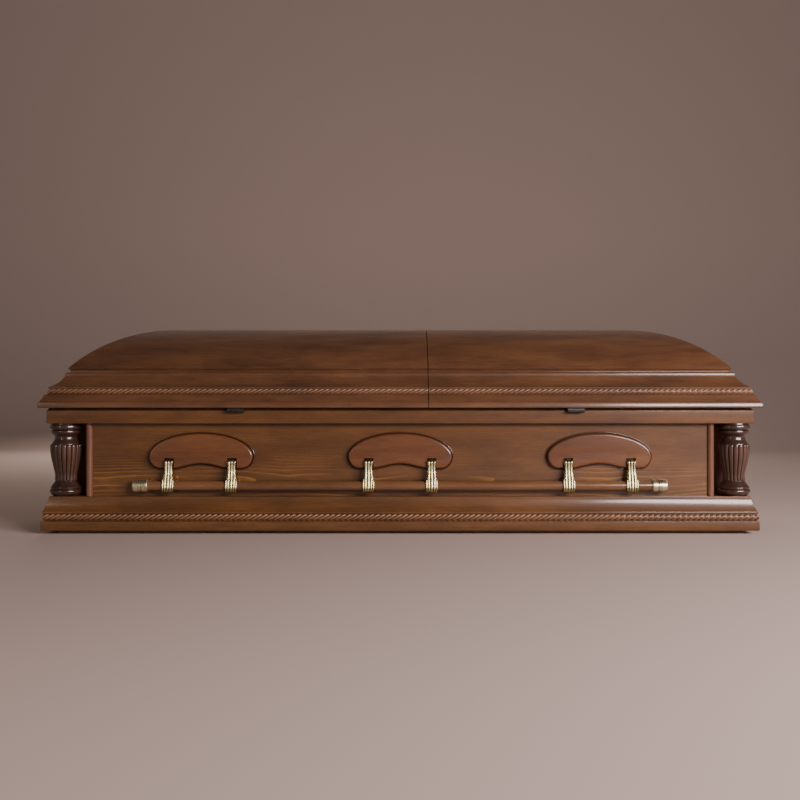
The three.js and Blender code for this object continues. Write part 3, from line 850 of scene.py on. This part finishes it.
ARM_HALF_WIDTH = [
    (118.6, 13.0), (119.6, 14.4), (123.0, 15.4), (127.0, 16.4), (134.0, 17.2), (146.0, 17.3),
    (154.0, 16.9), (158.5, 15.9), (160.5, 15.0), (163.0, 14.6), (168.0, 13.4), (176.0, 12.0),
    (186.0, 11.3), (196.0, 11.6), (204.0, 12.6), (210.0, 13.4), (213.6, 12.9), (214.7, 11.6),
]
ARM_FRONT = [
    (118.6, 335.0), (119.3, 339.0), (121.2, 342.6), (124.0, 345.2), (128.0, 347.0), (133.0, 347.6),
    (140.0, 346.6), (150.0, 344.4), (162.0, 340.8), (176.0, 337.0), (186.0, 335.2), (198.0, 334.0),
    (207.0, 333.4), (211.5, 332.6), (213.6, 331.4), (214.7, 329.6),
]
ARM_BACK = [
    (118.6, 330.0), (123.0, 328.6), (157.0, 327.8), (170.0, 327.6), (192.0, 327.2), (196.0, 320.0),
    (203.0, 314.2), (208.0, 314.0), (212.0, 316.6), (214.7, 321.0),
]
# Distances from the arm's middle to the grooves beside its middle rib and inside its outer leaves
INNER_GROOVE = [
    (118.6, 4.2), (135.0, 4.6), (150.0, 4.4), (165.0, 4.2), (186.0, 3.8), (200.0, 4.0), (214.7, 4.4),
]
OUTER_GROOVE = [(118.6, 10.4), (135.0, 11.6), (150.0, 12.0), (158.0, 12.4), (163.0, 14.0)]
LEAF_TIP = 163.0
RIB_RISE = 3.0
LEAF_RISE = 2.5
RIB_STEPS = 8
ARM_STEPS = 80


def arm_face(height):
    """Half of the arm's face at one height, as (distance from the middle, rise) at and between
    its grooves: the middle rib, the side rib and, over the socket, a leaf."""
    half = interpolate(ARM_HALF_WIDTH, height)
    inner = interpolate(INNER_GROOVE, height)
    outer = min(interpolate(OUTER_GROOVE, height), half - 0.5) if height < LEAF_TIP else half - 0.5
    fade = 0.3 + 0.7 * smooth_step(118.0, 122.0, height) * (1 - smooth_step(209.0, 214.0, height))
    leaf_rise = min(LEAF_RISE, 0.8 * (half - outer))
    ribs = [(-inner, inner, RIB_RISE), (inner, outer, RIB_RISE), (outer, half, leaf_rise)]
    points = []
    for start, stop, rise in ribs:
        for i in range(RIB_STEPS + 1):
            turn = math.pi * i / RIB_STEPS
            distance = (start + stop) / 2 - (stop - start) / 2 * math.cos(turn)
            if distance >= -0.001 and (not points or distance > points[-1][0] + 0.001):
                points.append((distance, fade * rise * math.sin(turn)))
    return points


def arm_mesh():
    low, high = ARM_FRONT[0][0], ARM_FRONT[-1][0]
    heights = [low + (high - low) * i / ARM_STEPS for i in range(ARM_STEPS + 1)]
    rings = []
    for height in heights:
        half = interpolate(ARM_HALF_WIDTH, height)
        face = interpolate(ARM_FRONT, height) - 1.0
        back = interpolate(ARM_BACK, height)
        drop = abs(height - BAR["height"])
        if drop < SOCKET_RADIUS:
            back = min(back, BAR["out"] - math.sqrt(SOCKET_RADIUS ** 2 - drop ** 2) * 0.98)
        points = [(x, -max(back + 1.5, face + rise), height) for x, rise in arm_face(height)]
        ring = [(-x, y, z) for x, y, z in reversed(points[1:])] + points
        ring += [(half * 0.98, -(back + 1.2), height), (half * 0.88, -back, height),
                 (-half * 0.88, -back, height), (-half * 0.98, -(back + 1.2), height)]
        rings.append(ring)
    return loft(rings)


def end_cap_mesh():
    """A cup with a lipped mouth, a quirk and fine turned rings, and a domed end."""
    mouth = BAR["radius"] + JOINT_GAP
    profile = ([(END_CAP_DEPTH, 0.0), (END_CAP_DEPTH, mouth), (0.0, mouth)]
               + arc((1.4, 17.4), 1.4, 180, 90, 3)
               + [(2.6, 18.8), (3.0, 18.3), (3.4, 18.8), (14.0, 19.0), (14.4, 18.5), (14.8, 19.0),
                  (15.8, 19.0), (16.4, 16.4), (19.2, 16.4), (19.8, 19.0), (23.6, 19.0), (24.2, 17.6),
                  (25.4, 17.6), (26.0, 19.0), (37.0, 18.9)]
               + arc((37.4, 12.2), 6.8, 88, 10, 8)
               + [(END_CAP, 8.0), (END_CAP, 0.0)])
    return turned(profile, 40)


def handle(side, turn):
    """The three plates, six arms, bar and end caps of one long side."""
    body = f"{side}_handle"
    spin = Matrix.Rotation(turn, 4, "Z")
    sign = 1 if turn == 0 else -1
    plate = plate_mesh()
    arm = arm_mesh()
    for name, x in (("head", -PLATE_SPACING), ("middle", 0.0), ("foot", PLATE_SPACING)):
        place = Matrix.Translation((x * MM, 0, 0)) @ spin
        node_name = f"{side}_{name}_handle_plate"
        piece(f"{node_name}_moulded", moved(plate.copy(), place), plate_wood, "shell",
              [node_name], crease=30)
        for number, offset in ((1, -ARM_SPACING), (2, ARM_SPACING)):
            place = Matrix.Translation(((x + offset) * MM, 0, 0)) @ spin
            node_name = f"{side}_{name}_arm_{number}"
            piece(f"{node_name}_ribbed", moved(arm.copy(), place), arm_brass, body, [node_name],
                  crease=60)
    plate.free()
    arm.free()
    axis = Matrix.Translation(Vector((0, -BAR["out"], BAR["height"])) * MM)
    half = HANDLE_HALF - END_CAP + END_CAP_DEPTH - BAR_END_ROOM
    rod = turned([(-half, 0.0), (-half, BAR["radius"]), (half, BAR["radius"]), (half, 0.0)], 40)
    piece(f"{side}_bar_round", moved(rod, spin @ axis), bar_wood, body, [f"{side}_bar"])
    for end, end_sign in (("head", -1), ("foot", 1)):
        cap = end_cap_mesh()
        flip = Matrix.Rotation(math.pi, 4, "Z") if end_sign * sign < 0 else Matrix.Identity(4)
        shift = Matrix.Translation(((HANDLE_HALF - END_CAP) * MM, 0, 0))
        node_name = f"{side}_bar_cap_{end}"
        piece(f"{node_name}_turned", moved(cap, spin @ axis @ flip @ shift), cap_brass, body,
              [node_name], crease=35)


# Lids

def crown_profile():
    """Insets and heights over the outside from foot to ridge, then inside from ridge to foot."""
    span = HALF_WIDTH - CROWN_INSET
    rise = CROWN_TOP - CROWN_EDGE
    radius = (span ** 2 + rise ** 2) / (2 * rise)
    centre = CROWN_TOP - radius
    foot = RIM_TOP + JOINT_GAP
    edge_angle = math.degrees(math.asin(span / radius))
    steps = 40
    outer = [(CROWN_FOOT_INSET, foot), (CROWN_FOOT_INSET - 0.4, 474.6), (CROWN_FOOT_INSET - 2.0, 478.6),
             (CROWN_FOOT_INSET - 4.0, 481.3), (CROWN_INSET + 0.7, 482.7), (CROWN_INSET, 483.3)]
    dome = arc((HALF_WIDTH, centre), radius, 90 + edge_angle, 90, steps)
    inner_radius = radius - CROWN_WALL
    inner_angle = math.degrees(math.acos((foot - centre) / inner_radius))
    inside = arc((HALF_WIDTH, centre), inner_radius, 90, 90 + inner_angle, steps)
    return outer + dome, inside


def crown_mesh(seam_x, direction):
    """The domed, hipped shell: U-shaped rings from the seam round the end and back again."""
    outside, inside = crown_profile()
    corner_steps = 4
    bm = bmesh.new()

    def ring(inset, height):
        half = max(0.0, HALF_WIDTH - inset)
        end = HALF_LENGTH - inset
        soft = min(HIP_SOFTNESS, half)
        points = [(seam_x, -half)]
        for x, y in arc((end - soft, -half + soft), soft, -90, 0, corner_steps):
            points.append((direction * x, y))
        for x, y in arc((end - soft, half - soft), soft, 0, 90, corner_steps):
            points.append((direction * x, y))
        points.append((seam_x, half))
        return [bm.verts.new(Vector((x, y, height)) * MM) for x, y in points]

    loops = [ring(*p) for p in outside + inside]
    for low, high in zip(loops, loops[1:] + loops[:1]):
        strip(bm, low, high, closed=False)
    count = len(outside)
    seam_face = [loop[0] for loop in loops[:count]] + [loop[-1] for loop in reversed(loops[:count])]
    seam_face += [loop[-1] for loop in reversed(loops[count:])] + [loop[0] for loop in loops[count:]]
    bm.faces.new(seam_face)
    bmesh.ops.remove_doubles(bm, verts=bm.verts, dist=0.00001)
    bmesh.ops.dissolve_degenerate(bm, dist=0.000001, edges=bm.edges)
    bmesh.ops.recalc_face_normals(bm, faces=bm.faces)
    return bm


def lid(end, direction):
    body = f"{end}_lid"
    seam_x = SEAM + direction * SEAM_HALF_GAP
    cuts = {"front": (None, seam_x) if direction < 0 else (seam_x, None),
            "back": (-seam_x, None) if direction < 0 else (None, -seam_x),
            end: (None, None)}
    for side, (start, stop) in cuts.items():
        node_name = f"{body}_{'end' if side == end else side}_rim"
        rim = moulding(rim_outline(), side, start, stop)
        eased(piece(f"{node_name}_moulded", rim, lid_wood[SIDE_GRAIN[side]], body,
                    [node_name]), MOULDING_EASING)
    crown = piece(f"{body}_crown_domed", crown_mesh(seam_x, direction), lid_wood["X"], body,
                  [f"{body}_crown"])
    eased(crown, CROWN_EASING)


# Ropes

def rope_tree():
    """A lobed section twisted along a straight axis that starts at the origin along X."""
    tree = bpy.data.node_groups.new("twisted rope", "GeometryNodeTree")
    sizes = {"Length": 1.0, "Lead": 0.065, "Core": 0.005, "Rise": 0.003}
    counts = {"Strands": 4, "Points": 100, "Sides": 32}
    for name in sizes:
        tree.interface.new_socket(name=name, in_out="INPUT", socket_type="NodeSocketFloat")
    for name in counts:
        tree.interface.new_socket(name=name, in_out="INPUT", socket_type="NodeSocketInt")
    tree.interface.new_socket(name="Material", in_out="INPUT", socket_type="NodeSocketMaterial")
    tree.interface.new_socket(name="Geometry", in_out="OUTPUT", socket_type="NodeSocketGeometry")
    given = tree.nodes.new("NodeGroupInput").outputs

    far_end = node(tree, "ShaderNodeCombineXYZ", {"X": given["Length"]}).outputs["Vector"]
    axis = node(tree, "GeometryNodeCurvePrimitiveLine", {"End": far_end}).outputs["Curve"]
    stepped = node(tree, "GeometryNodeResampleCurve", {
        "Curve": axis, "Count": given["Points"],
    }).outputs["Curve"]
    along = node(tree, "ShaderNodeSeparateXYZ", {
        "Vector": node(tree, "GeometryNodeInputPosition").outputs["Position"],
    }).outputs["X"]
    turn = maths(tree, "MULTIPLY", maths(tree, "DIVIDE", along, given["Lead"]), ROPE_HAND * 2 * math.pi)
    twisted = node(tree, "GeometryNodeSetCurveTilt", {"Curve": stepped, "Tilt": turn}).outputs["Curve"]

    # Each strand's crest is at the middle of its share of the section, and its groove at the ends
    circle = node(tree, "GeometryNodeCurvePrimitiveCircle", {
        "Resolution": given["Sides"], "Radius": 1.0,
    }).outputs["Curve"]
    index = node(tree, "GeometryNodeInputIndex").outputs["Index"]
    strand_steps = maths(tree, "MULTIPLY", index, given["Strands"])
    strand_share = maths(tree, "FRACT", maths(tree, "DIVIDE", strand_steps, given["Sides"]))
    centred_share = maths(tree, "SUBTRACT", maths(tree, "MULTIPLY", strand_share, 2.0), 1.0)
    from_crest = maths(tree, "POWER", maths(tree, "ABSOLUTE", centred_share), 1.6)
    swell = maths(tree, "POWER", maths(tree, "SUBTRACT", 1.0, from_crest), 0.8)
    reach = maths(tree, "ADD", given["Core"], maths(tree, "MULTIPLY", given["Rise"], swell))
    unit = node(tree, "GeometryNodeInputPosition").outputs["Position"]
    lobe_place = node(tree, "ShaderNodeVectorMath", {
        0: unit, "Scale": reach,
    }, operation="SCALE").outputs["Vector"]
    section = node(tree, "GeometryNodeSetPosition", {
        "Geometry": circle, "Position": lobe_place,
    }).outputs["Geometry"]
    solid = node(tree, "GeometryNodeCurveToMesh", {
        "Curve": twisted, "Profile Curve": section, "Fill Caps": True,
    }).outputs["Mesh"]
    real = node(tree, "GeometryNodeRealizeInstances", {"Geometry": solid}).outputs["Geometry"]
    stained = node(tree, "GeometryNodeSetMaterial", {
        "Geometry": real, "Material": given["Material"],
    }).outputs["Geometry"]
    node(tree, "NodeGroupOutput", {"Geometry": stained})
    return tree


def from_tree(tree, values):
    """Runs a node tree on an empty mesh with the named values, and gives the mesh it makes."""
    holder = bpy.data.objects.new("holder", bpy.data.meshes.new("holder"))
    bpy.context.scene.collection.objects.link(holder)
    modifier = holder.modifiers.new("tree", "NODES")
    modifier.node_group = tree
    for item in tree.interface.items_tree:
        if item.item_type == "SOCKET" and item.in_out == "INPUT" and item.name in values:
            modifier[item.identifier] = values[item.name]
    bm = evaluated(holder)
    bpy.data.objects.remove(holder)
    return bm


def rope_length(tree, place, wood, side, square_from=None, square_to=None):
    """One side's rope, cut at the mitres or square at the seam, and laid on its side."""
    half, lay = SIDES[side]
    spare = 12.0
    length = 2 * (half + spare)
    bm = from_tree(tree, {
        "Length": length * MM, "Lead": ROPE["lead"] * MM,
        "Core": place["radius"] * (1 - ROPE["depth"]) * MM,
        "Rise": place["radius"] * ROPE["depth"] * MM,
        "Strands": ROPE["strands"], "Sides": ROPE["strands"] * ROPE["points_per_strand"],
        "Points": round(length / ROPE["lead"] * ROPE["steps_per_turn"]), "Material": wood,
    })
    inset, height = place["inset"], place["height"]
    moved(bm, Matrix.Translation(Vector((-length / 2, inset, height)) * MM))
    cuts = []
    for sign, square in ((-1, square_from), (1, square_to)):
        if square is None:
            mitre = Vector((sign * (half - MITRE_TRIM), 0, 0)) * MM
            cuts.append((mitre, Vector((sign, 1, 0)).normalized()))
        else:
            cuts.append((Vector((square, 0, 0)) * MM, Vector((sign, 0, 0))))
    for point, normal in cuts:
        everything = bm.verts[:] + bm.edges[:] + bm.faces[:]
        cut = bmesh.ops.bisect_plane(bm, geom=everything, plane_co=point, plane_no=normal,
                                     clear_outer=True)
        edges = [e for e in cut["geom_cut"] if isinstance(e, bmesh.types.BMEdge)]
        bmesh.ops.edgeloop_fill(bm, edges=edges)
    origin = Vector(lay(0, 0, 0))
    columns = [Vector(lay(0, 1, 0)) - origin, Vector(lay(1, 0, 0)) - origin, Vector((0, 0, 1))]
    turn = Matrix(columns).transposed().to_4x4()
    return moved(bm, Matrix.Translation(origin * MM) @ turn)


def add_ropes():
    tree = rope_tree()
    base = [rope_length(tree, BASE_ROPE, carved_base, side) for side in SIDES]
    piece("base_rope_carving", joined(base), carved_base, "shell", crease=50)
    for end, direction in (("head", -1), ("foot", 1)):
        seam_x = SEAM + direction * SEAM_HALF_GAP
        front = (None, seam_x) if direction < 0 else (seam_x, None)
        back = (-seam_x, None) if direction < 0 else (None, -seam_x)
        parts = [rope_length(tree, LID_ROPE, carved_lid, "front", *front),
                 rope_length(tree, LID_ROPE, carved_lid, "back", *back),
                 rope_length(tree, LID_ROPE, carved_lid, end)]
        piece(f"{end}_lid_rope_carving", joined(parts), carved_lid, f"{end}_lid",
              crease=50)


# Catches

def add_catches():
    top = LID_BOTTOM - JOINT_GAP
    outline = ([(-338.0, top), (-347.6, top)]
               + arc((-348.2, 363.6), 3.1, 78, 180, 5)
               + bend((-351.4, 360.0), (-351.4, 352.9), (-347.4, 353.1), 6)
               + bend((-345.4, 353.3), (-344.4, 354.6), (-343.8, 357.6), 3)
               + [(-342.4, 363.4), (-338.0, 363.9)])
    for name in ("head_lid_catch", "foot_lid_catch"):
        low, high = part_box(name)
        tab = loft([[(x / MM, y, z) for y, z in outline] for x in (low.x, high.x)])
        eased(piece(f"{name}_curled", tab, black_steel, name.removesuffix("_catch"),
                    [name]), CATCH_EASING)


def dress_frame():
    """Better materials for the CAD nodes whose shape is right."""
    plain = {"bottom_board": board_wood, "front_panel": panel_wood["X"], "back_panel": panel_wood["X"],
             "head_panel": panel_wood["Y"], "foot_panel": panel_wood["Y"],
             "head_lid_header": lid_wood["Y"], "foot_lid_header": lid_wood["Y"],
             "head_lid_hinge": hinge_brass, "foot_lid_hinge": hinge_brass}
    for name, material in plain.items():
        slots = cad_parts[name].data.materials
        slots.clear()
        slots.append(material)


def add_shell():
    for side in SIDES:
        wood = moulding_wood[SIDE_GRAIN[side]]
        for kind, outline in (("base", base_outline()), ("cap", cap_outline())):
            node_name = f"{side}_{kind}_moulding"
            eased(piece(f"{node_name}_moulded", moulding(outline, side), wood, "shell",
                        [node_name]), MOULDING_EASING)
    for side, sign_y in (("front", -1), ("back", 1)):
        for end, sign_x in (("head", -1), ("foot", 1)):
            post_piece(side, end, sign_x, sign_y)
            column_piece(side, end, sign_x, sign_y)


add_camera()
add_floor()
add_lights()
dress_frame()
add_shell()
handle("front", 0.0)
handle("back", math.pi)
lid("head", -1)
lid("foot", 1)
add_ropes()
add_catches()

bpy.context.view_layer.update()
